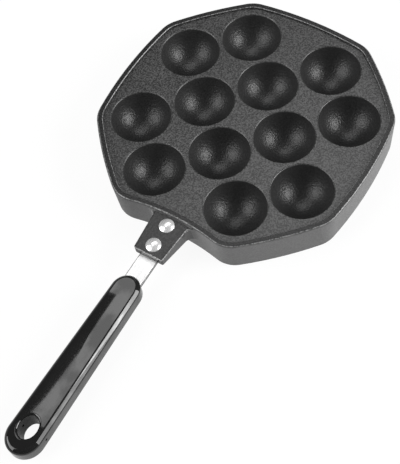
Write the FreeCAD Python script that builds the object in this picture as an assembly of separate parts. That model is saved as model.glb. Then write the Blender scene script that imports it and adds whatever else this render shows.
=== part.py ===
"""Hand-held pan for baking small batter balls: a cast plate with twelve round hollows,
a steel strap riveted under its handle tab, and a moulded grip on the strap.

Every length is in millimetres and every angle in degrees. The pan stands on the rim of
its skirt at z = 0, +Z is up, and the handle points along -Y. The origin is the middle of
the pan on the plane it stands on.
"""
import FreeCAD, Part
import math
import os
from collections import namedtuple
from FreeCAD import Vector

# Plan outline of the pan: four long and four short sides, each slightly bowed outwards.
LONG_SIDE_DISTANCE = 86.5      # pan centre to the chord of a long side
LONG_SIDE_LENGTH = 86.1        # corner to corner, before the corners are rounded
LONG_SIDE_BOW = 3.7
SHORT_SIDE_BOW = 1.8
CORNER_RADIUS = 20.6

# The long side that carries the handle is hollow instead.
HANDLE_SIDE_DISTANCE = 84.7    # pan centre to the middle of the hollow side
HANDLE_SIDE_RADIUS = 148.0
HANDLE_CORNER_RADIUS = 19.0

# Section of the casting.
PLATE_TOP = 23.3               # cooking surface above the standing plane
PLATE_THICKNESS = 3.0
SKIRT_THICKNESS = 2.8
SKIRT_DRAFT = 1.6              # how far the skirt leans in at its foot
LIP_HEIGHT = 1.7
LIP_WIDTH = 4.0
LIP_OUTER_EDGE = 1.2
LIP_INNER_CHAMFER = 0.4

# Round hollows, on a square grid turned 45 degrees, with its four corner places empty.
CUP_PITCH = 42.4
CUPS_PER_ROW = 4
CUP_GRID_TURN = 45.0
CUP_RADIUS = 19.7
CUP_DEPTH = 19.0
CUP_RIM_EDGE = 0.8
CUP_WALL = 2.6

# Handle tab: a flat tongue with two flanges, cast in one with the skirt.
HANDLE_DROOP = 2.0             # slope of the tab, strap and grip below level
TAB_END = 113.1                # pan centre to the end of the tab
TAB_TOP_DROP = 0.6             # tab top below the cooking surface, at the tab's end
TAB_END_WIDTH = 20.8
TAB_ROOT_WIDTH = 25.8
TAB_ROOT_OVERLAP = 2.0         # how far the tab's root reaches into the skirt
TAB_PLATE_THICKNESS = 5.1      # over the strap
TAB_MOUTH_HEIGHT = 1.3         # how much higher the channel is at the tab's end
TAB_MOUTH_LENGTH = 1.6
TAB_FLANGE_END_DEPTH = 6.3
TAB_FLANGE_ROOT_DEPTH = 14.2
TAB_FLANGE_DRAFT = 0.8         # how far each flank leans in, from top to root depth
TAB_ROOT_FILLET = 6.0
TAB_END_CORNER = 1.0
TAB_TOP_EDGE = 0.8

# Strap: a flat bar from the tab's channel to deep inside the grip.
STRAP_WIDTH = 12.6
STRAP_THICKNESS = 2.0
STRAP_EDGE = 0.3
STRAP_START_GAP = 1.5          # between the strap's end and the skirt
STRAP_IN_GRIP = 92.0           # length held inside the grip
STRAP_SIDE_CLEARANCE = 0.3     # each side, in the tab's channel

# Rivets.
RIVET_FROM_TAB_END = 6.6       # tab end to the rear rivet
RIVET_SPACING = 15.0
RIVET_SHANK_RADIUS = 2.5
RIVET_HOLE_CLEARANCE = 0.05
RIVET_HEAD_RADIUS = 4.85
RIVET_HEAD_HEIGHT = 2.2
RIVET_HEAD_RIM = 0.5           # straight rim under the dome
RIVET_TAIL_RADIUS = 4.2
RIVET_TAIL_HEIGHT = 1.5
RIVET_TAIL_RIM = 0.4

# Grip: a moulding between two rounded ends, thicker than the strap all round.
STRAP_SHOWN = 15.9             # bare strap between the tab and the grip
GRIP_LENGTH = 126.0
GRIP_FRONT_WIDTH = 18.8
GRIP_REAR_WIDTH = 22.8
GRIP_END_STRETCH = 1.09        # length of each oval end over its half width
GRIP_THICKNESS = 13.4
GRIP_TOP_DROP = 0.6            # grip top below the tab top, square to the handle
GRIP_EDGE = 3.0
EYE_FROM_REAR = 16.9           # grip end to the middle of the hanging eye
EYE_LENGTH = 15.0              # at the grip's top face, before its edge is rounded
EYE_WIDTH = 11.7
EYE_DRAFT = 1.1                # how much nearer the eye's wall is at the bottom face
EYE_TOP_EDGE = 1.3
EYE_BOTTOM_EDGE = 0.7
CROSS_HOLE_RADIUS = 0.85
CROSS_HOLE_DEPTH = 6.2         # grip top to the hole's axis

CUTTER_MARGIN = 5.0            # how far a cutting shape stands clear of what it cuts
TOLERANCE = 0.001              # two lengths this near are the same
FULL_TURN = 360.0
NODE_FOLDER = "parts"

X_AXIS = Vector(1, 0, 0)
Z_AXIS = Vector(0, 0, 1)

Side = namedtuple("Side", "centre radius")            # a hollow side's radius is negative
Corner = namedtuple("Corner", "centre radius before after")


# Plan outline ---------------------------------------------------------------------

def unit(vector):
    """The same direction with length one."""
    return vector / vector.Length


def bowed_side(start, end, bow):
    """The circle through two corners that stands `bow` outside their chord's middle."""
    middle = (start + end) / 2
    radius = (end - start).Length ** 2 / (8 * bow) + bow / 2
    return Side(middle + unit(middle) * (bow - radius), radius)


def hollow_side():
    """The circle that the handle side follows; its centre is outside the pan."""
    centre = Vector(0, -HANDLE_SIDE_DISTANCE - HANDLE_SIDE_RADIUS, 0)
    return Side(centre, -HANDLE_SIDE_RADIUS)


def pan_sides():
    """The eight sides, counter-clockwise from the handle side, with their corners."""
    half = LONG_SIDE_LENGTH / 2
    far = LONG_SIDE_DISTANCE
    points = [Vector(*p, 0) for p in ((-half, -far), (half, -far), (far, -half), (far, half),
                                      (half, far), (-half, far), (-far, half), (-far, -half))]
    bows = (SHORT_SIDE_BOW, LONG_SIDE_BOW) * 3 + (SHORT_SIDE_BOW,)
    sides = [hollow_side()]
    for index, bow in enumerate(bows, start=1):
        sides.append(bowed_side(points[index], points[(index + 1) % len(points)], bow))
    return sides, points


def rounded_corner(before, after, near, radius):
    """The circle of `radius` that touches both sides from inside, nearest to `near`."""
    reach_a = abs(before.radius - radius)
    reach_b = abs(after.radius - radius)
    line = after.centre - before.centre
    along = (reach_a ** 2 - reach_b ** 2 + line.Length ** 2) / (2 * line.Length)
    across = math.sqrt(reach_a ** 2 - along ** 2)
    foot = before.centre + unit(line) * along
    offset = Vector(-line.y, line.x, 0) / line.Length * across
    centre = min((foot + offset, foot - offset), key=lambda point: (point - near).Length)
    normals = [unit(centre - side.centre) * math.copysign(1, side.radius)
               for side in (before, after)]
    return Corner(centre, radius, *normals)


def pan_corners():
    """The eight rounded corners; corner k joins side k - 1 to side k."""
    sides, points = pan_sides()
    corners = []
    for index, point in enumerate(points):
        radius = HANDLE_CORNER_RADIUS if index < 2 else CORNER_RADIUS
        corners.append(rounded_corner(sides[index - 1], sides[index], point, radius))
    return sides, corners


def pan_outline(inset, z):
    """Closed wire of the pan's plan outline, moved `inset` inwards, at height z."""
    sides, corners = pan_corners()
    lift = Vector(0, 0, z)
    edges = []
    for index, (side, corner) in enumerate(zip(sides, corners)):
        following = corners[(index + 1) % len(corners)]
        start = corner.centre + corner.before * (corner.radius - inset)
        middle = corner.centre + unit(corner.before + corner.after) * (corner.radius - inset)
        end = corner.centre + corner.after * (corner.radius - inset)
        crown = side.centre + unit(corner.after + following.before) * (side.radius - inset)
        last = following.centre + following.before * (following.radius - inset)
        edges.append(Part.Arc(start + lift, middle + lift, end + lift).toShape())
        edges.append(Part.Arc(end + lift, crown + lift, last + lift).toShape())
    return Part.Wire(edges)


def between_outlines(lower, upper):
    """Solid between two outlines, each given as (inset, z)."""
    return Part.makeLoft([pan_outline(*lower), pan_outline(*upper)], True, True)


# Shared shapes --------------------------------------------------------------------

def turned(profile):
    """Solid of revolution about Z of a closed list of edges in the XZ plane."""
    return Part.Face(Part.Wire(profile)).revolve(Vector(), Z_AXIS, FULL_TURN)


def line(start, end):
    """Straight edge between two (x, z) points of the XZ plane."""
    return Part.LineSegment(Vector(start[0], 0, start[1]), Vector(end[0], 0, end[1])).toShape()


def arc(start, middle, end):
    """Round edge through three (x, z) points of the XZ plane."""
    return Part.Arc(*(Vector(x, 0, z) for x, z in (start, middle, end))).toShape()


def edges_where(shape, test):
    """The edges of a shape whose bounding box passes a test."""
    return [edge for edge in shape.Edges if test(edge.BoundBox)]


def is_level(box, z):
    """Whether a bounding box is flat and lies at height z."""
    return abs(box.ZMin - z) < TOLERANCE and abs(box.ZMax - z) < TOLERANCE


def plan_wire(half_widths, y_start, y_end, z):
    """Closed four-sided plan about the Y axis, with a half width at each of its ends."""
    near, far = half_widths
    plan = [Vector(-near, y_start, z), Vector(near, y_start, z),
            Vector(far, y_end, z), Vector(-far, y_end, z)]
    return Part.makePolygon(plan + plan[:1])


def bar(half_width, y_start, y_end, z_low, z_high):
    """Plain rectangular bar along Y."""
    wire = plan_wire((half_width, half_width), y_start, y_end, z_low)
    return Part.Face(wire).extrude(Z_AXIS * (z_high - z_low))


def placed_on_handle(shape):
    """Moves a shape from the handle's own frame to the pan.

    In the handle's frame z = 0 is the tab's top and y is the distance from the pan's
    middle, taken level. The frame turns by the droop about the tab's end.
    """
    placed = shape.copy()
    placed.rotate(Vector(0, -TAB_END, 0), X_AXIS, HANDLE_DROOP)
    placed.translate(Z_AXIS * (PLATE_TOP - TAB_TOP_DROP))
    return placed


# Pan casting ----------------------------------------------------------------------

def cup_centres():
    """Centres of the hollows, in plan."""
    half_row = (CUPS_PER_ROW - 1) / 2
    turn = math.radians(CUP_GRID_TURN)
    centres = []
    for row in range(CUPS_PER_ROW):
        for column in range(CUPS_PER_ROW):
            across, along = column - half_row, row - half_row
            if abs(across) == half_row and abs(along) == half_row:
                continue
            centres.append(Vector(across * math.cos(turn) - along * math.sin(turn),
                                  across * math.sin(turn) + along * math.cos(turn), 0) * CUP_PITCH)
    return centres


def cup_ball():
    """Radius of the hollow's ball and the height of its centre."""
    radius = (CUP_RADIUS ** 2 + CUP_DEPTH ** 2) / (2 * CUP_DEPTH)
    return radius, PLATE_TOP - CUP_DEPTH + radius


def cup_cutter():
    """What a hollow removes: its bowl, with the rounded rim, and the space above."""
    radius, centre_z = cup_ball()
    rim_z = PLATE_TOP - CUP_RIM_EDGE
    rim_x = math.sqrt((radius + CUP_RIM_EDGE) ** 2 - (rim_z - centre_z) ** 2)
    outwards = unit(Vector(rim_x, 0, rim_z - centre_z))
    touch = Vector(0, 0, centre_z) + outwards * radius
    rim_centre = Vector(rim_x, 0, rim_z)
    rim_middle = rim_centre + unit(Z_AXIS - outwards) * CUP_RIM_EDGE
    bowl_middle = Vector(0, 0, centre_z) + unit(outwards - Z_AXIS) * radius
    bottom = (0, PLATE_TOP - CUP_DEPTH)
    rim_top = (rim_x, PLATE_TOP)
    roof = PLATE_TOP + CUTTER_MARGIN
    return turned([arc(bottom, (bowl_middle.x, bowl_middle.z), (touch.x, touch.z)),
                   arc((touch.x, touch.z), (rim_middle.x, rim_middle.z), rim_top),
                   line(rim_top, (rim_x, roof)), line((rim_x, roof), (0, roof)),
                   line((0, roof), bottom)])


def cup_shell():
    """Ball-shaped underside of a hollow, up to the middle of the plate."""
    radius, centre_z = cup_ball()
    outer = radius + CUP_WALL
    ball = Part.makeSphere(outer, Vector(0, 0, centre_z))
    below = bar(outer, -outer, outer, centre_z - outer, PLATE_TOP - PLATE_THICKNESS / 2)
    return ball.common(below)


def tab_root():
    """Y of the tab's hidden root, inside the skirt."""
    return -HANDLE_SIDE_DISTANCE + SKIRT_DRAFT + TAB_ROOT_OVERLAP


def tab_blank():
    """Handle tab as a solid tongue in the handle's frame, deeper at its root."""
    root, depth = tab_root(), TAB_FLANGE_ROOT_DEPTH
    wires = [plan_wire((TAB_ROOT_WIDTH / 2 - lean, TAB_END_WIDTH / 2 - lean), root, -TAB_END, z)
             for lean, z in ((0, 0), (TAB_FLANGE_DRAFT, -depth))]
    tongue = Part.makeLoft(wires, True, True)
    reach = TAB_ROOT_WIDTH
    under = [Vector(-reach, -TAB_END, -TAB_FLANGE_END_DEPTH), Vector(-reach, root, -depth),
             Vector(-reach, -TAB_END, -depth - CUTTER_MARGIN)]
    wedge = Part.Face(Part.makePolygon(under + under[:1])).extrude(X_AXIS * (2 * reach))
    return tongue.cut(wedge)


def softened_tab(tongue):
    """The tongue with its two end corners and its top edges rounded."""
    near_end = -TAB_END + TAB_END_CORNER
    upright = edges_where(tongue, lambda box: box.ZLength > TAB_FLANGE_END_DEPTH / 2
                          and box.YMax < near_end)
    tongue = tongue.makeFillet(TAB_END_CORNER, upright)
    top = edges_where(tongue, lambda box: is_level(box, 0) and box.YMin < near_end)
    return tongue.makeFillet(TAB_TOP_EDGE, top)


def tab_channel():
    """The channel under the tab that the strap lies in, a little higher at its mouth."""
    half = STRAP_WIDTH / 2 + STRAP_SIDE_CLEARANCE
    outer, floor = -TAB_END - CUTTER_MARGIN, -TAB_FLANGE_ROOT_DEPTH - CUTTER_MARGIN
    channel = bar(half, -HANDLE_SIDE_DISTANCE, outer, floor, -TAB_PLATE_THICKNESS)
    mouth = bar(half, -TAB_END + TAB_MOUTH_LENGTH, outer, floor,
                -TAB_PLATE_THICKNESS + TAB_MOUTH_HEIGHT)
    return channel.fuse(mouth).removeSplitter()


def rivet_places():
    """Distances of the front and rear rivet from the pan's middle."""
    rear = TAB_END - RIVET_FROM_TAB_END
    return rear - RIVET_SPACING, rear


def rivet_holes():
    """Cutters for both rivet holes, through the tab and the strap."""
    radius = RIVET_SHANK_RADIUS + RIVET_HOLE_CLEARANCE
    depth = TAB_PLATE_THICKNESS + STRAP_THICKNESS + 2 * CUTTER_MARGIN
    return [Part.makeCylinder(radius, depth, Vector(0, -place, CUTTER_MARGIN - depth))
            for place in rivet_places()]


def root_edges(body):
    """Upright edges where the tab's flanks meet the skirt."""
    def is_root(box):
        """Whether an edge stands at the tab's root, beside the tab."""
        middle = box.Center
        beside = abs(abs(middle.x) - TAB_ROOT_WIDTH / 2) < TAB_FLANGE_DRAFT + TAB_TOP_EDGE
        upright = box.ZLength > 2 * (box.XLength + box.YLength)
        return beside and upright and abs(middle.y + HANDLE_SIDE_DISTANCE) < SKIRT_THICKNESS
    return edges_where(body, is_root)


def pan_block():
    """The pan's outer shape as one solid block, with its rim rounded and the tab on it."""
    lip_top = PLATE_TOP + LIP_HEIGHT
    block = between_outlines((SKIRT_DRAFT, 0), (0, lip_top))
    block = block.makeFillet(LIP_OUTER_EDGE, edges_where(block, lambda box: is_level(box, lip_top)))
    block = block.fuse(placed_on_handle(softened_tab(tab_blank()))).removeSplitter()
    return block.makeFillet(TAB_ROOT_FILLET, root_edges(block))


def underside_hollow():
    """The space under the plate and inside the skirt, which keeps its wall's thickness."""
    lean = SKIRT_DRAFT / (PLATE_TOP + LIP_HEIGHT)
    ceiling = PLATE_TOP - PLATE_THICKNESS
    foot = SKIRT_DRAFT + SKIRT_THICKNESS
    return between_outlines((foot + lean * CUTTER_MARGIN, -CUTTER_MARGIN),
                            (foot - lean * ceiling, ceiling))


def pan_casting():
    """The casting: plate, lip, skirt, twelve hollows and the handle tab."""
    lip_top = PLATE_TOP + LIP_HEIGHT
    skirt_space = between_outlines((SKIRT_DRAFT, 0), (0, lip_top))
    recess = between_outlines((LIP_WIDTH, PLATE_TOP), (LIP_WIDTH, lip_top + CUTTER_MARGIN))
    chamfer = between_outlines((LIP_WIDTH, lip_top - LIP_INNER_CHAMFER),
                               (LIP_WIDTH - LIP_INNER_CHAMFER, lip_top))
    body = pan_block().cut([placed_on_handle(tab_channel()).cut(skirt_space),
                            underside_hollow(), recess, chamfer])
    body = body.cut([placed_on_handle(hole) for hole in rivet_holes()])
    centres = cup_centres()
    body = body.fuse([cup_shell().translated(centre) for centre in centres])
    body = body.cut([cup_cutter().translated(centre) for centre in centres])
    return body.removeSplitter()


# Handle ---------------------------------------------------------------------------

def grip_start():
    """Distance from the pan's middle to the front of the grip."""
    return TAB_END + STRAP_SHOWN


def strap_bar():
    """Strap without its holes, in the handle's frame."""
    top = -TAB_PLATE_THICKNESS
    start = -HANDLE_SIDE_DISTANCE - STRAP_START_GAP
    strap = bar(STRAP_WIDTH / 2, start, -grip_start() - STRAP_IN_GRIP, top - STRAP_THICKNESS, top)
    long_edges = edges_where(strap, lambda box: box.YLength > STRAP_IN_GRIP)
    return strap.makeFillet(STRAP_EDGE, long_edges)


def handle_strap():
    """Steel strap with its two rivet holes."""
    return placed_on_handle(strap_bar().cut(rivet_holes()))


def dome(radius, height, rim, base_z, way):
    """Low dome on a short straight rim, standing on base_z and growing up or down."""
    cap = height - rim
    ball = (radius ** 2 + cap ** 2) / (2 * cap)
    half_angle = math.asin(radius / ball) / 2
    crest = base_z + way * height
    shoulder = (radius, base_z + way * rim)
    flank = (ball * math.sin(half_angle), crest - way * ball * (1 - math.cos(half_angle)))
    return turned([line((0, base_z), (radius, base_z)), line((radius, base_z), shoulder),
                   arc(shoulder, flank, (0, crest)), line((0, crest), (0, base_z))])


def rivet(distance):
    """Domed rivet through tab and strap, with its formed tail below."""
    grip_depth = TAB_PLATE_THICKNESS + STRAP_THICKNESS
    shank = Part.makeCylinder(RIVET_SHANK_RADIUS, grip_depth, Vector(0, 0, -grip_depth))
    head = dome(RIVET_HEAD_RADIUS, RIVET_HEAD_HEIGHT, RIVET_HEAD_RIM, 0, 1)
    tail = dome(RIVET_TAIL_RADIUS, RIVET_TAIL_HEIGHT, RIVET_TAIL_RIM, -grip_depth, -1)
    solid = shank.fuse([head, tail]).removeSplitter()
    return placed_on_handle(solid.translated(Vector(0, -distance, 0)))


def oval(centre_y, half_length, half_width, z):
    """Ellipse about the Y axis with its long axis along Y."""
    centre = Vector(0, centre_y, z)
    return Part.Ellipse(centre + Vector(0, half_length, 0), centre + X_AXIS * half_width, centre)


def grip_plan(z):
    """Closed plan of the grip: two oval ends joined by their outer tangents."""
    front_half, rear_half = GRIP_FRONT_WIDTH / 2, GRIP_REAR_WIDTH / 2
    front = -grip_start() - front_half * GRIP_END_STRETCH
    rear = -grip_start() - GRIP_LENGTH + rear_half * GRIP_END_STRETCH
    slope = math.asin((rear_half - front_half) * GRIP_END_STRETCH / (front - rear))

    def touch(centre_y, half, sign):
        """Point where a tangent touches an oval end."""
        return Vector(sign * half * math.cos(slope),
                      centre_y + half * GRIP_END_STRETCH * math.sin(slope), z)

    def end(centre_y, half, first, last):
        """Part of an oval end, clockwise from one side of the grip to the other."""
        whole = oval(centre_y, half * GRIP_END_STRETCH, half, z)
        start, stop = (whole.parameter(touch(centre_y, half, sign)) for sign in (first, last))
        return Part.ArcOfEllipse(whole, start, stop).toShape()

    sides = [Part.LineSegment(touch(front, front_half, sign), touch(rear, rear_half, sign))
             for sign in (-1, 1)]
    return Part.Wire([end(front, front_half, -1, 1), sides[1].toShape(),
                      end(rear, rear_half, 1, -1), sides[0].toShape()])


def eye_centre():
    """Y of the hanging eye's middle."""
    return -grip_start() - GRIP_LENGTH + EYE_FROM_REAR


def eye_cutter(top):
    """Oval hole of the hanging eye, which narrows downwards and passes both faces."""
    mouths = []
    for depth in (GRIP_THICKNESS + CUTTER_MARGIN, -CUTTER_MARGIN):
        inset = EYE_DRAFT * depth / GRIP_THICKNESS
        mouth = oval(eye_centre(), EYE_LENGTH / 2 - inset, EYE_WIDTH / 2 - inset, top - depth)
        mouths.append(Part.Wire(mouth.toShape()))
    return Part.makeLoft(mouths, True, True)


def eye_mouth(grip, z):
    """The eye's edges at one of the grip's faces."""
    return edges_where(grip, lambda box: is_level(box, z) and box.XLength < EYE_WIDTH + TOLERANCE
                       and abs(box.Center.y - eye_centre()) < EYE_LENGTH / 2)


def handle_grip():
    """Moulded grip with the strap's pocket, the hanging eye and a small cross hole."""
    top = -GRIP_TOP_DROP
    bottom = top - GRIP_THICKNESS
    grip = Part.Face(grip_plan(bottom)).extrude(Z_AXIS * GRIP_THICKNESS)
    rims = edges_where(grip, lambda box: is_level(box, top) or is_level(box, bottom))
    grip = grip.makeFillet(GRIP_EDGE, rims)
    grip = grip.cut(eye_cutter(top))
    grip = grip.makeFillet(EYE_TOP_EDGE, eye_mouth(grip, top))
    grip = grip.makeFillet(EYE_BOTTOM_EDGE, eye_mouth(grip, bottom))
    cross_start = Vector(-GRIP_REAR_WIDTH, eye_centre(), top - CROSS_HOLE_DEPTH)
    cross = Part.makeCylinder(CROSS_HOLE_RADIUS, 2 * GRIP_REAR_WIDTH, cross_start, X_AXIS)
    return placed_on_handle(grip.cut([cross, strap_bar()]))


# Assembly -------------------------------------------------------------------------

def assembly():
    """Every node's shape by name."""
    front, rear = rivet_places()
    return {
        "pan_casting": pan_casting(),
        "handle_strap": handle_strap(),
        "front_rivet": rivet(front),
        "rear_rivet": rivet(rear),
        "handle_grip": handle_grip(),
    }


def main():
    """Writes one STEP file per node and prints a short summary."""
    os.makedirs(NODE_FOLDER, exist_ok=True)
    for name, shape in assembly().items():
        box = shape.optimalBoundingBox(False, False)
        low = "%.2f %.2f %.2f" % (box.XMin, box.YMin, box.ZMin)
        high = "%.2f %.2f %.2f" % (box.XMax, box.YMax, box.ZMax)
        print("%-14s solids %d valid %s volume %9.1f  from %s to %s"
              % (name, len(shape.Solids), shape.isValid(), shape.Volume, low, high))
        shape.exportStep(os.path.join(NODE_FOLDER, name + ".step"))


if __name__ == "__main__":
    main()
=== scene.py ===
"""Finishes, modelled pieces and studio for the twelve-hollow ball pan.

Lengths are in metres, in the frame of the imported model: the pan stands on z = 0, its
middle is above the origin and the handle points along -Y.
"""
import logging
import math
from dataclasses import dataclass, field
from enum import Enum
from typing import Callable, Dict, List, Optional, Sequence, Tuple

import bmesh
import bpy
from mathutils import Matrix, Vector


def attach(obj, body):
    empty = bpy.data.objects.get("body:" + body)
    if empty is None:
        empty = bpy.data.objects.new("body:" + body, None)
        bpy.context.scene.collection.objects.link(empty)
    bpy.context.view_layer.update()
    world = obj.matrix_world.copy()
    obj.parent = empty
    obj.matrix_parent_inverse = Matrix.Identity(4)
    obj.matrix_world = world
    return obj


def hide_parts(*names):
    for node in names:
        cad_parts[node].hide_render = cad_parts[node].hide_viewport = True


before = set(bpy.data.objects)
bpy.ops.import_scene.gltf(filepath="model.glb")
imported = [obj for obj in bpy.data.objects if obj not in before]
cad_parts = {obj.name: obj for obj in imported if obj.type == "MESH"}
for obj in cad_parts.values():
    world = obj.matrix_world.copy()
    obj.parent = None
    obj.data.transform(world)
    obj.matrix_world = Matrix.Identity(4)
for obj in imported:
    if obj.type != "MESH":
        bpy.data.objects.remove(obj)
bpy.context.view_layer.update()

LOG = logging.getLogger("ball_pan")
Point = Tuple[float, float, float]
Colour = Tuple[float, float, float]
MM = 0.001


def grey(level: float) -> Tuple[float, float, float, float]:
    """A neutral colour of that linear level, with full alpha."""
    return (level, level, level, 1.0)


def tinted(colour: Colour) -> Tuple[float, float, float, float]:
    """A linear colour with full alpha."""
    return (*colour, 1.0)


@dataclass(frozen=True)
class Ring:
    """One level outline of a shape about an upright axis."""

    height: float
    across: float
    along: float

    def at(self, height: float) -> "Ring":
        """The same ring at another height."""
        return Ring(height, self.across, self.along)


def quarter(radius: float, steps: int) -> List[Tuple[float, float]]:
    """Points of a quarter round that starts upright.

    Args:
        radius: radius of the round.
        steps: number of its flats.

    Returns:
        How far each point has moved sideways and up.
    """
    turns = [math.pi / 2 * step / steps for step in range(steps + 1)]
    return [(radius * (1 - math.cos(turn)), radius * math.sin(turn)) for turn in turns]


# Node sheets ------------------------------------------------------------------------

class Sheet:
    """A material's node tree with short calls for the nodes that the finishes use."""

    def __init__(self, name: str) -> None:
        """Starts an empty tree.

        Args:
            name: name of the new material.
        """
        self.material = bpy.data.materials.new(name)
        self.material.use_nodes = True
        self.tree = self.material.node_tree
        self.tree.nodes.clear()
        self.output = self.tree.nodes.new("ShaderNodeOutputMaterial")
        self._place: Optional[bpy.types.NodeSocket] = None

    def add(self, kind: str, settings: Optional[Dict[str, object]] = None,
            **inputs: object) -> bpy.types.Node:
        """Adds a node.

        Args:
            kind: Blender's name of the node, without its "ShaderNode" start.
            settings: properties of the node itself.
            inputs: input sockets by name, with underscores for spaces; a socket is linked
                and anything else is set as the default value.

        Returns:
            The new node.
        """
        node = self.tree.nodes.new("ShaderNode" + kind)
        for key, value in (settings or {}).items():
            setattr(node, key, value)
        for key, value in inputs.items():
            self.feed(node, key.replace("_", " "), value)
        return node

    def feed(self, node: bpy.types.Node, key: object, value: object) -> None:
        """Links or sets one input of a node.

        Args:
            node: the node that is fed.
            key: name or number of its input.
            value: an output socket to link, or a plain value.
        """
        if isinstance(value, bpy.types.NodeSocket):
            self.tree.links.new(value, node.inputs[key])
        else:
            node.inputs[key].default_value = value

    def place(self) -> bpy.types.NodeSocket:
        """The object's own coordinates, in metres."""
        if self._place is None:
            self._place = self.add("TexCoord").outputs["Object"]
        return self._place

    def math(self, operation: str, first: object, second: object = 0.0,
             clamp: bool = False) -> bpy.types.NodeSocket:
        """Output of a math node.

        Args:
            operation: Blender's name of the operation.
            first: first socket or number.
            second: second socket or number.
            clamp: whether the result is held between 0 and 1.

        Returns:
            The result's socket.
        """
        node = self.add("Math", {"operation": operation, "use_clamp": clamp})
        self.feed(node, 0, first)
        self.feed(node, 1, second)
        return node.outputs[0]

    def ramp(self, value: object, low: float, high: float,
             to_low: float = 0.0, to_high: float = 1.0) -> bpy.types.NodeSocket:
        """Smooth step between two values.

        Args:
            value: what is read.
            low: value at which the step starts.
            high: value at which it ends.
            to_low: result before the step.
            to_high: result after it.

        Returns:
            The result's socket.
        """
        node = self.add("MapRange", {"interpolation_type": "SMOOTHSTEP"}, Value=value)
        for key, number in (("From Min", low), ("From Max", high),
                            ("To Min", to_low), ("To Max", to_high)):
            node.inputs[key].default_value = number
        return node.outputs["Result"]

    def grain(self, size: float, detail: float = 2.0,
              stretch: Point = (1.0, 1.0, 1.0)) -> bpy.types.NodeSocket:
        """Soft random pattern.

        Args:
            size: width of a grain, in metres.
            detail: how many finer layers it has.
            stretch: how many times longer a grain is along each axis.

        Returns:
            A socket between 0 and 1.
        """
        spread = self.add("Mapping", Vector=self.place())
        spread.inputs["Scale"].default_value = [1.0 / s for s in stretch]
        node = self.add("TexNoise", Vector=spread.outputs[0],
                        Scale=0.5 / size, Detail=detail)
        return node.outputs["Fac"]

    def between(self, share: object, low: object, high: object) -> bpy.types.NodeSocket:
        """Mix of two numbers.

        Args:
            share: 0 for the first number, 1 for the second.
            low: first number.
            high: second number.

        Returns:
            The number's socket.
        """
        node = self.add("Mix", {"data_type": "FLOAT"})
        for key, value in ((0, share), (2, low), (3, high)):
            self.feed(node, key, value)
        return node.outputs[0]

    def blend(self, share: object, low: object, high: object) -> bpy.types.NodeSocket:
        """Mix of two colours.

        Args:
            share: 0 for the first colour, 1 for the second.
            low: first colour.
            high: second colour.

        Returns:
            The colour's socket.
        """
        node = self.add("Mix", {"data_type": "RGBA"})
        self.feed(node, 0, share)
        self.feed(node, 6, low)
        self.feed(node, 7, high)
        return node.outputs[2]

    def bump(self, height: object, depth: float, strength: float = 1.0,
             over: Optional[bpy.types.NodeSocket] = None) -> bpy.types.NodeSocket:
        """Bumped normal.

        Args:
            height: pattern between 0 and 1.
            depth: height of the pattern, in metres.
            strength: share of the effect.
            over: normal of a coarser bump below this one.

        Returns:
            The normal's socket.
        """
        node = self.add("Bump", Height=height, Distance=depth, Strength=strength)
        if over is not None:
            self.feed(node, "Normal", over)
        return node.outputs["Normal"]

    def surface(self, node: bpy.types.Node) -> bpy.types.Material:
        """Ends the tree in a shader and hands the material over.

        Args:
            node: the shader node.

        Returns:
            The finished material.
        """
        self.tree.links.new(node.outputs[0], self.output.inputs["Surface"])
        return self.material


# Finishes ---------------------------------------------------------------------------

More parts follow.
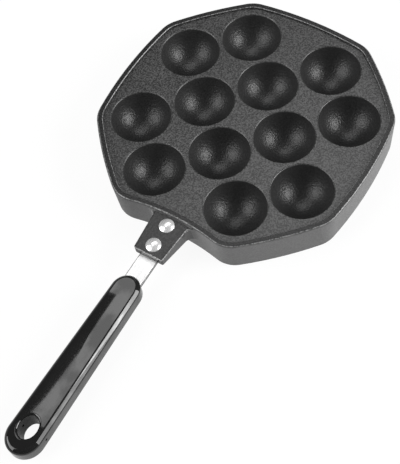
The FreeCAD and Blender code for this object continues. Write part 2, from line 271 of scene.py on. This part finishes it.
@dataclass(frozen=True)
class BakingCoat:
    """Dark non-stick coat: speckled on the plate, duller outside, with painted light making
    the outside lighter, painted shade darkening the hollows, lip and tab, and painted
    highlights on the lip's rims and the tab's top edges.
    """

    plate_level: float = 0.036
    # Painted shade: the hollows' level is set darker than the plate's for the shade inside
    # them.
    painted_hollow_shade_level: float = 0.022
    # Painted light: the outside walls' lighter level stands in for light from low lamps that
    # the floor blocks.
    painted_light_skirt_level: float = 0.072
    # Painted shade: the lip's darker level stands in for the shade along its foot and edges.
    painted_lip_shade_level: float = 0.014
    lip_shine: float = 0.33
    # Painted highlight: the lighter level on the lip's top edges.
    painted_rim_highlight_level: float = 0.125
    # Painted shade: the tab's darker level stands in for its darker reflection.
    painted_tab_shade_level: float = 0.014
    plate_roughness: float = 0.33
    hollow_roughness: float = 0.35
    skirt_roughness: float = 0.40
    refraction: float = 1.45
    grain_size: float = 0.50 * MM
    grain_depth: float = 0.09 * MM
    hollow_grain_size: float = 0.60 * MM
    hollow_grain_depth: float = 0.24 * MM
    plate_top: float = 23.3 * MM
    lip_top: float = 25.0 * MM
    cup_pitch: float = 42.4 * MM
    ball_radius: float = 19.713 * MM
    ball_height: float = 24.013 * MM
    tab_start: float = 85.2 * MM
    tab_half_width: float = 14.5 * MM
    tab_end: float = 113.1 * MM
    tab_top: float = 22.7 * MM
    tab_slope: float = 0.0349
    # Painted highlights: lighter levels on the tab's top edges and, taller, on its end.
    painted_edge_level: float = 0.15
    painted_end_highlight_level: float = 0.30

    def hollow_share(self, sheet: Sheet) -> bpy.types.NodeSocket:
        """1 on the walls of the round hollows and 0 elsewhere.

        Args:
            sheet: the tree that is built.

        Returns:
            The share's socket.
        """
        turn = sheet.add("Mapping", Vector=sheet.place())
        turn.inputs["Rotation"].default_value = (0.0, 0.0, math.pi / 4)
        split = sheet.add("SeparateXYZ", Vector=turn.outputs[0])
        cell, away = [], []
        for axis in ("X", "Y"):
            along = sheet.math("DIVIDE", split.outputs[axis], self.cup_pitch)
            inside = sheet.math("SUBTRACT", sheet.math("FRACT", along), 0.5)
            cell.append(sheet.math("MULTIPLY", inside, self.cup_pitch))
            away.append(sheet.math("ABSOLUTE", along))
        depth = sheet.math("SUBTRACT", split.outputs["Z"], self.ball_height)
        joined = sheet.add("CombineXYZ", X=cell[0], Y=cell[1], Z=depth)
        reach = sheet.add("VectorMath", {"operation": "LENGTH"})
        sheet.feed(reach, 0, joined.outputs[0])
        near = sheet.ramp(reach.outputs["Value"], self.ball_radius + 0.25 * MM,
                          self.ball_radius + 0.65 * MM, 1.0, 0.0)
        below = sheet.ramp(split.outputs["Z"], self.plate_top - 0.9 * MM,
                           self.plate_top - 0.3 * MM, 1.0, 0.0)
        held = sheet.math("MULTIPLY",
                          sheet.math("LESS_THAN", sheet.math("MINIMUM", *away), 1.0),
                          sheet.math("LESS_THAN", sheet.math("MAXIMUM", *away), 2.0))
        return sheet.math("MULTIPLY", sheet.math("MULTIPLY", near, below), held)

    def outward(self, sheet: Sheet) -> bpy.types.NodeSocket:
        """How far a surface faces away from the pan's middle, from -1 to 1.

        Args:
            sheet: the tree that is built.

        Returns:
            The number's socket.
        """
        level = sheet.add("VectorMath", {"operation": "MULTIPLY"})
        sheet.feed(level, 0, sheet.place())
        sheet.feed(level, 1, (1.0, 1.0, 0.0))
        away = sheet.add("VectorMath", {"operation": "NORMALIZE"})
        sheet.feed(away, 0, level.outputs[0])
        facing = sheet.add("VectorMath", {"operation": "DOT_PRODUCT"})
        sheet.feed(facing, 0, away.outputs[0])
        sheet.feed(facing, 1, sheet.add("TexCoord").outputs["Normal"])
        return facing.outputs["Value"]

    def tab_share(self, sheet: Sheet, split: bpy.types.Node) -> bpy.types.NodeSocket:
        """1 on the handle tab and 0 elsewhere.

        Args:
            sheet: the tree that is built.
            split: the node that gives X, Y and Z.

        Returns:
            The share's socket.
        """
        beside = sheet.math("LESS_THAN", sheet.math("ABSOLUTE", split.outputs["X"]),
                            self.tab_half_width)
        behind = sheet.ramp(split.outputs["Y"], -self.tab_start - 0.5 * MM,
                            -self.tab_start, 1.0, 0.0)
        return sheet.math("MULTIPLY", beside, behind)

    def painted_edge_highlight_share(self, sheet: Sheet, split: bpy.types.Node,
                   end: bpy.types.NodeSocket) -> bpy.types.NodeSocket:
        """1 at the height of the rounded edges of the tab's top, where a highlight is
        painted, and 0 elsewhere.

        Args:
            sheet: the tree that is built.
            split: the node that gives X, Y and Z.
            end: 1 on the tab's end face, where the painted highlight is taller.

        Returns:
            The share's socket.
        """
        run = sheet.math("ADD", split.outputs["Y"], self.tab_end)
        rise = sheet.math("ADD", sheet.math("MULTIPLY", run, self.tab_slope), self.tab_top)
        height = sheet.math("SUBTRACT", split.outputs["Z"], rise)
        height = sheet.math("ADD", height, sheet.math("MULTIPLY", end, 0.5 * MM))
        above = sheet.ramp(height, -0.95 * MM, -0.6 * MM)
        below = sheet.ramp(height, -0.2 * MM, -0.05 * MM, 1.0, 0.0)
        below = sheet.math("MAXIMUM", below, end)
        return sheet.math("MULTIPLY", above, below)

    def material(self) -> bpy.types.Material:
        """Builds the coat's material."""
        sheet = Sheet("baking_coat")
        split = sheet.add("SeparateXYZ", Vector=sheet.place())
        # The hollow zone takes a darker level: painted shade.
        hollow = self.hollow_share(sheet)
        # The tab zone takes a darker level: painted shade.
        tab = self.tab_share(sheet, split)
        end = sheet.ramp(split.outputs["Y"], -self.tab_end + 0.15 * MM,
                         -self.tab_end + 0.5 * MM, 1.0, 0.0)
        # Painted highlight along the tab's top edges and its end.
        painted_edge_highlight = sheet.math("MULTIPLY", tab, self.painted_edge_highlight_share(sheet, split, end))
        painted_edge_highlight_level = sheet.between(end, self.painted_edge_level, self.painted_end_highlight_level)
        # The skirt zone takes a lighter level: painted light.
        skirt = sheet.ramp(split.outputs["Z"], self.plate_top - 0.8 * MM,
                           self.plate_top - 0.2 * MM, 1.0, 0.0)
        outward = self.outward(sheet)
        skirt = sheet.math("MAXIMUM", skirt, sheet.ramp(outward, 0.6, 0.85))
        # The lip zone below takes a darker level: painted shade.
        lip = sheet.ramp(split.outputs["Z"], self.plate_top + 0.2 * MM,
                         self.plate_top + 0.7 * MM)
        lip = sheet.math("SUBTRACT", lip, skirt, True)
        # The rim zone, the lip's top edges, takes a lighter level: a painted highlight.
        outer = sheet.ramp(outward, 0.15, 0.4)
        inner = sheet.ramp(outward, -0.7, -0.35, 1.0, 0.0)
        high = sheet.ramp(split.outputs["Z"], self.lip_top - 0.5 * MM,
                          self.lip_top - 0.4 * MM)
        rim = sheet.math("MULTIPLY", sheet.math("MULTIPLY", lip, high),
                         sheet.math("MAXIMUM", outer, inner))
        fine = sheet.grain(self.grain_size, 1.5)
        broad = sheet.grain(self.hollow_grain_size, 1.5)
        coarse = sheet.grain(26.0 * self.grain_size, 2.0)
        level: object = self.plate_level
        rough: object = self.plate_roughness
        for share, zone_level, zone_rough in (
                (skirt, self.painted_light_skirt_level, self.skirt_roughness),
                (lip, self.painted_lip_shade_level, self.plate_roughness),
                (rim, self.painted_rim_highlight_level, self.plate_roughness),
                (tab, self.painted_tab_shade_level, self.plate_roughness),
                (painted_edge_highlight, painted_edge_highlight_level, self.plate_roughness),
                (hollow, self.painted_hollow_shade_level, self.hollow_roughness)):
            level = sheet.between(share, level, zone_level)
            rough = sheet.between(share, rough, zone_rough)
        dull = sheet.math("SUBTRACT", sheet.math("SUBTRACT", lip, rim, True), tab, True)
        smooth = sheet.math("SUBTRACT", skirt, tab, True)
        speck = sheet.ramp(fine, 0.36, 0.66, 0.35, 1.68)
        speck = sheet.between(sheet.math("MULTIPLY", smooth, 0.7), speck, 1.0)
        cloud = sheet.ramp(coarse, 0.25, 0.75, 0.93, 1.07)
        tone = sheet.math("MULTIPLY", sheet.math("MULTIPLY", level, speck), cloud)
        colour = sheet.add("CombineColor", Red=tone, Green=tone, Blue=tone)
        uneven = sheet.math("MULTIPLY", sheet.math("SUBTRACT", coarse, 0.5), 0.08)
        roughness = sheet.math("ADD", rough, uneven)
        depth = sheet.between(hollow, self.grain_depth, self.hollow_grain_depth)
        normal = sheet.bump(sheet.between(hollow, fine, broad), depth)
        shader = sheet.add("BsdfPrincipled", Base_Color=colour.outputs[0],
                           Roughness=roughness, IOR=self.refraction, Normal=normal,
                           Specular_IOR_Level=sheet.between(dull, 0.5, self.lip_shine))
        return sheet.surface(shader)


@dataclass(frozen=True)
class PolishedSteel:
    """Bright steel with fine lines along the piece and, where given, side edges painted dark
    as painted shade.
    """

    name: str
    colour: Colour = (0.84, 0.84, 0.84)
    roughness: float = 0.22
    # The two values below set where the sides start and their darker level: painted shade.
    edge_from: float = 1.0
    painted_edge_level: float = 0.16
    line_width: float = 0.12 * MM
    line_depth: float = 0.002 * MM
    line_stretch: float = 60.0
    metallic: float = 1.0

    def material(self) -> bpy.types.Material:
        """Builds the steel's material."""
        sheet = Sheet(self.name)
        lines = sheet.grain(self.line_width, 2.0, (1.0, self.line_stretch, 1.0))
        haze = sheet.grain(4.0 * MM, 2.0)
        dark = tuple(0.93 * level for level in self.colour)
        face = sheet.blend(haze, tinted(dark), tinted(self.colour))
        split = sheet.add("SeparateXYZ", Vector=sheet.place())
        across = sheet.math("ABSOLUTE", split.outputs["X"])
        # Painted shade: a dark band along the piece's sides, from edge_from outwards.
        edge = sheet.ramp(across, self.edge_from - 0.15 * MM, self.edge_from)
        colour = sheet.blend(edge, face, grey(self.painted_edge_level))
        rough = sheet.ramp(lines, 0.3, 0.7, 0.8 * self.roughness, 1.25 * self.roughness)
        shader = sheet.add("BsdfPrincipled", Base_Color=colour,
                           Metallic=self.metallic,
                           Roughness=rough, Normal=sheet.bump(lines, self.line_depth))
        return sheet.surface(shader)


@dataclass(frozen=True)
class GlossyMoulding:
    """Black glossy moulded plastic with a slightly uneven skin."""

    name: str = "glossy_moulding"
    level: float = 0.009
    roughness: float = 0.025
    shine: float = 0.50
    smudge_size: float = 5.0 * MM
    wave_size: float = 9.0 * MM
    wave_depth: float = 0.02 * MM

    def material(self) -> bpy.types.Material:
        """Builds the moulding's material."""
        sheet = Sheet(self.name)
        waves = sheet.grain(self.wave_size, 1.0, (1.0, 3.0, 1.0))
        dust = sheet.grain(0.5 * MM, 3.0)
        smudge = sheet.grain(self.smudge_size, 3.0, (1.0, 1.6, 1.0))
        colour = sheet.blend(waves, grey(0.85 * self.level), grey(1.15 * self.level))
        rough = sheet.ramp(dust, 0.45, 0.8, self.roughness, 1.8 * self.roughness)
        shine = sheet.ramp(smudge, 0.38, 0.62, 0.74 * self.shine, 1.16 * self.shine)
        shader = sheet.add("BsdfPrincipled", Base_Color=colour, Roughness=rough,
                           Specular_IOR_Level=shine,
                           Normal=sheet.bump(waves, self.wave_depth))
        return sheet.surface(shader)


# Bench ------------------------------------------------------------------------------

class Pick(Enum):
    """What an edit-mode selection picks."""

    EDGE = "EDGE"
    FACE = "FACE"


class Bench:
    """One mesh under work: parts are picked by place and shaped by edit-mode operators."""

    def __init__(self, name: str) -> None:
        """Takes over the primitive that was just added.

        Args:
            name: name of the piece.
        """
        self.piece = bpy.context.object
        self.piece.name = name
        self.piece.data.name = name
        bpy.ops.object.transform_apply(location=True, rotation=True, scale=True)

    @staticmethod
    def clear() -> None:
        """Deselects every object, so that operators act on the next piece alone."""
        bpy.ops.object.select_all(action="DESELECT")

    @classmethod
    def cylinder(cls, name: str, radius: float, low: Point, depth: float, vertices: int,
                 lying: bool = False) -> "Bench":
        """Starts from a cylinder.

        Args:
            name: name of the piece.
            radius: its radius.
            low: middle of its lower face, or of its left face if it lies.
            depth: its height, or its length if it lies.
            vertices: number of its sides.
            lying: whether it lies along X instead of standing.

        Returns:
            The bench with the cylinder on it.
        """
        cls.clear()
        along = Vector((depth / 2, 0.0, 0.0)) if lying else Vector((0.0, 0.0, depth / 2))
        turn = (0.0, math.pi / 2, 0.0) if lying else (0.0, 0.0, 0.0)
        bpy.ops.mesh.primitive_cylinder_add(vertices=vertices, radius=radius, depth=depth,
                                            location=Vector(low) + along, rotation=turn)
        return cls(name)

    @classmethod
    def block(cls, name: str, low: Point, high: Point) -> "Bench":
        """Starts from a rectangular block between two corners.

        Args:
            name: name of the piece.
            low: its lowest corner.
            high: its highest corner.

        Returns:
            The bench with the block on it.
        """
        cls.clear()
        bpy.ops.mesh.primitive_cube_add(size=1.0, location=(Vector(low) + Vector(high)) / 2)
        bpy.context.object.scale = Vector(high) - Vector(low)
        return cls(name)

    def edit(self) -> None:
        """Makes this mesh the one that edit-mode operators act on."""
        if bpy.context.mode == "OBJECT":
            self.piece.select_set(True)
            bpy.context.view_layer.objects.active = self.piece
            bpy.ops.object.mode_set(mode="EDIT")

    def pick(self, kind: Pick, test: Callable[[object], bool]) -> None:
        """Selects the edges or faces that pass a test, and nothing else.

        Args:
            kind: edges or faces.
            test: called with each of them.
        """
        self.edit()
        bpy.ops.mesh.select_mode(type=kind.value)
        bpy.ops.mesh.select_all(action="DESELECT")
        mesh = bmesh.from_edit_mesh(self.piece.data)
        for part in (mesh.edges if kind is Pick.EDGE else mesh.faces):
            if test(part):
                part.select_set(True)
        bmesh.update_edit_mesh(self.piece.data)

    def pick_all(self) -> None:
        """Selects the whole mesh."""
        self.edit()
        bpy.ops.mesh.select_all(action="SELECT")

    def follow(self, rings: Sequence[Ring], place: float = 0.0) -> None:
        """Pulls the picked face out along a row of rings.

        Args:
            rings: the rings in order; the first is the picked face as it is.
            place: y of the rings' middles.
        """
        for last, ring in zip(rings, rings[1:]):
            bpy.ops.mesh.extrude_region_move(
                TRANSFORM_OT_translate={"value": (0.0, 0.0, ring.height - last.height)})
            bpy.ops.transform.resize(
                value=(ring.across / last.across, ring.along / last.along, 1.0),
                center_override=(0.0, place, ring.height))

    def close(self) -> None:
        """Merges doubles, turns the faces outwards and leaves edit mode."""
        self.pick_all()
        bpy.ops.mesh.remove_doubles(threshold=0.001 * MM)
        bpy.ops.mesh.normals_make_consistent(inside=False)
        bpy.ops.object.mode_set(mode="OBJECT")
        self.clear()

    def cut(self, cutter: "Bench") -> None:
        """Takes another mesh's space out of this one and drops that mesh.

        Args:
            cutter: the mesh to take out.
        """
        cutter.close()
        bpy.context.view_layer.objects.active = self.piece
        modifier = self.piece.modifiers.new("cut", "BOOLEAN")
        modifier.operation = "DIFFERENCE"
        modifier.solver = "EXACT"
        modifier.object = cutter.piece
        bpy.ops.object.modifier_apply(modifier=modifier.name)
        bpy.data.objects.remove(cutter.piece)

    def finish(self, place: Matrix, angle: float) -> bpy.types.Object:
        """Closes the mesh, moves it to its place and smooths it.

        Args:
            place: from the mesh's own frame to the pan's.
            angle: steepest edge, in degrees, that is still shaded smooth.

        Returns:
            The finished piece, with its object at the origin.
        """
        self.close()
        self.piece.select_set(True)
        bpy.context.view_layer.objects.active = self.piece
        self.piece.matrix_world = place
        bpy.ops.object.transform_apply(location=True, rotation=True, scale=True)
        bpy.ops.object.shade_smooth_by_angle(angle=math.radians(angle))
        weighted = self.piece.modifiers.new("weighted", "WEIGHTED_NORMAL")
        weighted.keep_sharp = True
        bpy.ops.object.modifier_apply(modifier=weighted.name)
        self.clear()
        return self.piece


# Pieces -----------------------------------------------------------------------------

@dataclass(frozen=True)
class HandleFrame:
    """The handle's own frame: z = 0 is the tab's top, and y is as in the pan's frame."""

    droop: float = 2.0
    tab_end: float = 113.1 * MM
    tab_top: float = 22.7 * MM

    def matrix(self) -> Matrix:
        """From the handle's frame to the pan's."""
        pivot = Matrix.Translation((0.0, -self.tab_end, 0.0))
        turn = Matrix.Rotation(math.radians(self.droop), 4, "X")
        return Matrix.Translation((0.0, 0.0, self.tab_top)) @ pivot @ turn @ pivot.inverted()


@dataclass
class Grip:
    """Moulded grip: two oval ends, rounded edges, a flared hanging eye and a cross hole."""

    start: float = -129.0 * MM
    length: float = 126.0 * MM
    front_half: float = 9.4 * MM
    rear_half: float = 11.4 * MM
    end_stretch: float = 1.09
    top: float = -0.6 * MM
    thickness: float = 13.4 * MM
    edge: float = 3.0 * MM
    edge_fullness: float = 0.36
    eye_from_rear: float = 16.9 * MM
    eye_half_length: float = 7.5 * MM
    eye_half_width: float = 5.85 * MM
    eye_draft: float = 1.1 * MM
    eye_top_round: float = 1.3 * MM
    eye_bottom_round: float = 0.7 * MM
    cross_radius: float = 0.85 * MM
    cross_depth: float = 6.2 * MM
    pocket_half_width: float = 6.35 * MM
    pocket_top: float = -5.05 * MM
    pocket_depth: float = 2.1 * MM
    pocket_length: float = 92.05 * MM

    @property
    def bottom(self) -> float:
        """Height of the grip's lower face."""
        return self.top - self.thickness

    @property
    def eye_place(self) -> float:
        """Y of the eye's middle."""
        return self.start - self.length + self.eye_from_rear

    def blank(self) -> Bench:
        """Models the grip's body without its holes."""
        front = self.start - self.front_half * self.end_stretch
        rear = self.start - self.length + self.rear_half * self.end_stretch
        ratio = self.front_half / self.rear_half
        middle = (0.0, rear, self.bottom + self.thickness / 2)
        bench = Bench.cylinder("moulded_grip", self.rear_half, (0.0, rear, self.bottom),
                               self.thickness, 96)
        bench.pick_all()
        bpy.ops.transform.resize(value=(1.0, self.end_stretch, 1.0), center_override=middle)
        bpy.ops.mesh.bisect(plane_co=middle, plane_no=(0.0, 1.0, 0.0), threshold=0.001 * MM)
        bench.pick(Pick.FACE, lambda face: face.calc_center_median().y > rear)
        bpy.ops.mesh.split()
        bpy.ops.transform.resize(value=(ratio, ratio, 1.0), center_override=middle)
        bpy.ops.transform.translate(value=(0.0, front - rear, 0.0))
        bench.pick(Pick.EDGE, lambda edge: edge.is_boundary)
        bpy.ops.mesh.bridge_edge_loops()
        bench.pick(Pick.EDGE, lambda edge: edge.calc_face_angle(0.0) > 1.0)
        bpy.ops.mesh.bevel(offset=self.edge, offset_type="OFFSET", segments=12,
                           profile=self.edge_fullness, affect="EDGES", clamp_overlap=False)
        bench.close()
        return bench

    def eye(self) -> Bench:
        """Models the eye's space, which narrows downwards, with the flare of both mouths."""
        low, high, over = self.bottom, self.top, MM
        bottom = [(low + self.eye_bottom_round - rise, growth)
                  for growth, rise in reversed(quarter(self.eye_bottom_round, 5))]
        top = [(high - self.eye_top_round + rise, growth)
               for growth, rise in quarter(self.eye_top_round, 9)]
        steps = bottom + top + [(high + over, self.eye_top_round)]
        rings = []
        for height, growth in steps:
            growth -= self.eye_draft * (high - height) / self.thickness
            rings.append(Ring(height, self.eye_half_width + growth,
                              self.eye_half_length + growth))
        bench = Bench.cylinder("eye_space", rings[0].across,
                               (0.0, self.eye_place, low - over), over, 72)
        bench.pick_all()
        bpy.ops.transform.resize(value=(1.0, rings[0].along / rings[0].across, 1.0),
                                 center_override=(0.0, self.eye_place, low))
        bench.pick(Pick.FACE, lambda face: face.normal.z > 0.99)
        bench.follow(rings, self.eye_place)
        return bench

    def cross_hole(self) -> Bench:
        """Models the small hole that crosses the grip at its eye."""
        reach = 2.0 * self.rear_half
        place = (-reach, self.eye_place, self.top - self.cross_depth)
        return Bench.cylinder("cross_space", self.cross_radius, place, 2.0 * reach, 24,
                              lying=True)

    def pocket(self) -> Bench:
        """Models the slot that the strap fills."""
        low = (-self.pocket_half_width, self.start - self.pocket_length,
               self.pocket_top - self.pocket_depth)
        high = (self.pocket_half_width, self.start + self.edge, self.pocket_top)
        return Bench.block("strap_space", low, high)

    def build(self, skin: bpy.types.Material, inside: bpy.types.Material) -> bpy.types.Object:
        """Models the grip, dresses it and puts it on the handle.

        Args:
            skin: finish of its outer skin.
            inside: finish of its holes' walls.

        Returns:
            The finished piece.
        """
        bench = self.blank()
        for space in (self.eye, self.cross_hole, self.pocket):
            bench.cut(space())
        slack = 0.05 * MM
        bench.pick(Pick.FACE, lambda face: self.is_inside(face.calc_center_median(), slack))
        walls = [face.index for face in bmesh.from_edit_mesh(bench.piece.data).faces
                 if face.select]
        bench.close()
        for material in (skin, inside):
            bench.piece.data.materials.append(material)
        for index in walls:
            bench.piece.data.polygons[index].material_index = 1
        piece = bench.finish(HandleFrame().matrix(), 40.0)
        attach(piece, "root")
        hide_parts("handle_grip")
        LOG.info("built %s with %d faces", piece.name, len(piece.data.polygons))
        return piece

    def is_inside(self, point: Vector, slack: float) -> bool:
        """Whether a point lies on a hole's wall, below the eye's flare.

        Args:
            point: a face's middle, in the handle's frame.
            slack: how far outside the eye's oval still counts.

        Returns:
            True on the wall of the eye, the cross hole and the pocket.
        """
        across = point.x / (self.eye_half_width + slack)
        along = (point.y - self.eye_place) / (self.eye_half_length + slack)
        return across ** 2 + along ** 2 < 1.0 and point.z < self.top - self.eye_top_round


@dataclass
class Rivet:
    """Domed rivet through the tab and the strap, with its formed tail below."""

    head_radius: float = 4.85 * MM
    head_height: float = 2.2 * MM
    head_rim: float = 0.5 * MM
    shank_radius: float = 2.5 * MM
    hold: float = 7.1 * MM
    tail_radius: float = 4.2 * MM
    tail_height: float = 1.5 * MM
    tail_rim: float = 0.4 * MM
    places: Tuple[Tuple[str, float], ...] = (("front_rivet", -91.5 * MM),
                                             ("rear_rivet", -106.5 * MM))

    @staticmethod
    def dome(radius: float, height: float, rim: float, base: float, way: int) -> List[Ring]:
        """Rings of a dome, from its rim to near its crest.

        Args:
            radius: radius of its rim.
            height: height of its crest over its base.
            rim: height of its straight rim.
            base: height of its base.
            way: 1 if it grows up and -1 if it grows down.

        Returns:
            The rings in order.
        """
        cap = height - rim
        ball = (radius ** 2 + cap ** 2) / (2 * cap)
        half = math.asin(radius / ball)
        steps = 10
        rings = []
        for step in range(steps):
            turn = half * (1 - step / steps)
            rings.append(Ring(base + way * (height - ball * (1 - math.cos(turn))),
                              ball * math.sin(turn), ball * math.sin(turn)))
        return rings

    def model(self) -> Bench:
        """Models one rivet about the handle's origin."""
        bench = Bench.cylinder("domed_rivet", self.head_radius, (0.0, 0.0, 0.0),
                               self.head_rim, 64)
        bench.pick(Pick.FACE, lambda face: face.normal.z > 0.99)
        bench.follow(self.dome(self.head_radius, self.head_height, self.head_rim, 0.0, 1))
        bench.pick(Pick.FACE, lambda face: face.normal.z < -0.99)
        head, shank, tail = (Ring(0.0, radius, radius) for radius in
                             (self.head_radius, self.shank_radius, self.tail_radius))
        foot = -self.hold
        bench.follow([head, shank, shank.at(foot), tail.at(foot)]
                     + self.dome(self.tail_radius, self.tail_height, self.tail_rim, foot, -1))
        bench.pick(Pick.EDGE, lambda edge: self.is_rim(edge))
        bpy.ops.mesh.bevel(offset=0.22 * MM, offset_type="OFFSET", segments=3, profile=0.5,
                           affect="EDGES", clamp_overlap=False)
        bench.close()
        return bench

    def is_rim(self, edge: object) -> bool:
        """Whether an edge runs round the head where its dome meets its rim."""
        return all(abs(vertex.co.z - self.head_rim) < 0.001 * MM
                   and vertex.co.xy.length > 0.99 * self.head_radius for vertex in edge.verts)

    def build(self, metal: bpy.types.Material) -> List[bpy.types.Object]:
        """Models one rivet, copies it, and puts both in their holes.

        Args:
            metal: finish of the rivets.

        Returns:
            The two finished pieces.
        """
        first = self.model().piece
        pieces = []
        for node, place in self.places:
            piece = bpy.data.objects.new("domed_" + node, first.data.copy())
            bpy.context.scene.collection.objects.link(piece)
            piece.data.materials.append(metal)
            Bench.clear()
            piece.select_set(True)
            bpy.context.view_layer.objects.active = piece
            bench = Bench(piece.name)
            bench.finish(HandleFrame().matrix() @ Matrix.Translation((0.0, place, 0.0)), 40.0)
            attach(piece, "root")
            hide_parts(node)
            LOG.info("built %s with %d faces", piece.name, len(piece.data.polygons))
            pieces.append(piece)
        bpy.data.objects.remove(first)
        return pieces


def dress(piece: bpy.types.Object, material: bpy.types.Material) -> None:
    """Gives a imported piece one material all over.

    Args:
        piece: the mesh object.
        material: its only material.
    """
    piece.data.materials.clear()
    piece.data.materials.append(material)
    LOG.info("dressed %s in %s", piece.name, material.name)


# Studio -----------------------------------------------------------------------------

@dataclass(frozen=True)
class Panel:
    """A soft rectangular lamp that faces a point of the object."""

    name: str
    place: Point
    width: float
    height: float
    radiance: float
    target: Point = (0.0, 0.0, 0.02)

    def build(self) -> bpy.types.Object:
        """Adds the lamp to the scene."""
        light = bpy.data.lights.new(self.name, "AREA")
        light.shape = "RECTANGLE"
        light.size = self.width
        light.size_y = self.height
        light.energy = self.radiance * math.pi * self.width * self.height
        lamp = bpy.data.objects.new(self.name, light)
        bpy.context.scene.collection.objects.link(lamp)
        aim = Vector(self.target) - Vector(self.place)
        lamp.matrix_world = (Matrix.Translation(self.place)
                             @ aim.to_track_quat("-Z", "Y").to_matrix().to_4x4())
        return lamp


@dataclass
class Studio:
    """Camera, soft lamps, dim room and a plain pale floor."""

    lens: float = 88.41
    sensor: float = 36.0
    camera_place: Point = (0.25594, -0.35073, 0.61647)
    camera_right: Point = (0.84282766, 0.52915515, -0.09816498)
    camera_up: Point = (-0.41631474, 0.75662897, 0.50417719)
    room_level: float = 0.10
    floor_size: float = 6.0
    floor_drop: float = 0.05 * MM
    floor_level: float = 0.88
    floor_seen_light: float = 0.92
    floor_mirrored_painted_shade_left: float = 0.30
    panels: Sequence[Panel] = field(default_factory=lambda: (
        Panel("overhead_panel", (-0.13, 0.42, 0.78), 0.39, 0.40, 3.1, (-0.13, 0.42, 0.0)),
        Panel("middle_panel", (-0.27, 0.14, 0.78), 0.26, 0.16, 3.6, (-0.27, 0.14, 0.0)),
        Panel("front_panel", (-0.235, -0.04, 0.78), 0.186, 0.20, 3.5, (-0.235, -0.04, 0.0)),
        Panel("right_panel", (2.10, 0.98, 0.98), 1.2, 1.95, 11.0),
        Panel("side_panel", (2.30, 0.21, 0.90), 0.66, 1.7, 7.0),
        Panel("left_panel", (-0.87, -0.98, 1.10), 1.15, 1.94, 4.6, (0.0, 0.0, 1.10)),
    ))

    def add_camera(self) -> None:
        """Adds the camera and makes it the scene's own."""
        right, up = Vector(self.camera_right), Vector(self.camera_up)
        back = right.cross(up)
        data = bpy.data.cameras.new("studio_camera")
        data.lens = self.lens
        data.sensor_width = self.sensor
        camera = bpy.data.objects.new("studio_camera", data)
        bpy.context.scene.collection.objects.link(camera)
        turn = Matrix((right, up, back)).transposed().to_4x4()
        camera.matrix_world = Matrix.Translation(self.camera_place) @ turn
        bpy.context.scene.camera = camera

    def floor_material(self) -> bpy.types.Material:
        """Pale floor that looks white to the eye and in mirrors, with its shadows kept, and
        with painted shade in mirrors towards -X, where its mirrored glow is dimmer.
        """
        sheet = Sheet("studio_floor")
        soft = sheet.grain(0.05, 2.0)
        colour = sheet.blend(soft, grey(self.floor_level), grey(self.floor_level + 0.02))
        plain = sheet.add("BsdfDiffuse", Color=colour)
        path = sheet.add("LightPath")
        seen = sheet.math("MULTIPLY", path.outputs["Is Camera Ray"], self.floor_seen_light)
        mirrored = sheet.math("MAXIMUM", path.outputs["Is Glossy Ray"],
                              path.outputs["Is Transmission Ray"])
        across = sheet.add("SeparateXYZ", Vector=sheet.place()).outputs["X"]
        # Painted shade: the glow that mirrors see is dimmed towards -X, for the floor in the
        # pan's shade.
        level = sheet.ramp(across, -0.10, 0.03, self.floor_mirrored_painted_shade_left, 1.0)
        glow = sheet.add("Emission", Color=grey(1.0),
                         Strength=sheet.between(mirrored, 1.0, level))
        mix = sheet.add("MixShader")
        sheet.feed(mix, 0, sheet.math("MAXIMUM", seen, mirrored))
        sheet.feed(mix, 1, plain.outputs[0])
        sheet.feed(mix, 2, glow.outputs[0])
        return sheet.surface(mix)

    def add_floor(self) -> None:
        """Adds the floor, which isn't part of the object."""
        bpy.ops.object.select_all(action="DESELECT")
        bpy.ops.mesh.primitive_plane_add(size=self.floor_size,
                                         location=(0.0, 0.0, -self.floor_drop))
        floor = bpy.context.object
        floor.name = "studio_floor"
        floor.data.materials.append(self.floor_material())

    def light_room(self) -> None:
        """Gives the room an even, dim level."""
        world = bpy.data.worlds.new("studio_room")
        world.use_nodes = True
        world.node_tree.nodes["Background"].inputs["Color"].default_value = grey(1.0)
        world.node_tree.nodes["Background"].inputs["Strength"].default_value = self.room_level
        bpy.context.scene.world = world

    def build(self) -> None:
        """Sets up the whole studio."""
        bpy.context.scene.view_settings.view_transform = "Standard"
        self.add_camera()
        self.add_floor()
        self.light_room()
        for panel in self.panels:
            panel.build()
        LOG.info("studio ready with %d panels", len(self.panels))


def main() -> None:
    """Dresses the object and builds the studio around it."""
    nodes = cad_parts
    dress(nodes["pan_casting"], BakingCoat().material())
    # The strap's sides carry painted shade from 5.9 mm out.
    dress(nodes["handle_strap"], PolishedSteel("strap_steel", roughness=0.42,
                                               edge_from=5.9 * MM).material())
    Rivet().build(PolishedSteel("rivet_metal", (0.93, 0.93, 0.93), roughness=0.24,
                                metallic=0.65).material())
    Grip().build(GlossyMoulding().material(),
                 GlossyMoulding("matt_moulding", roughness=0.3, shine=0.12).material())
    Studio().build()


if __name__ == "__main__":
    logging.basicConfig(level=logging.INFO)
    main()
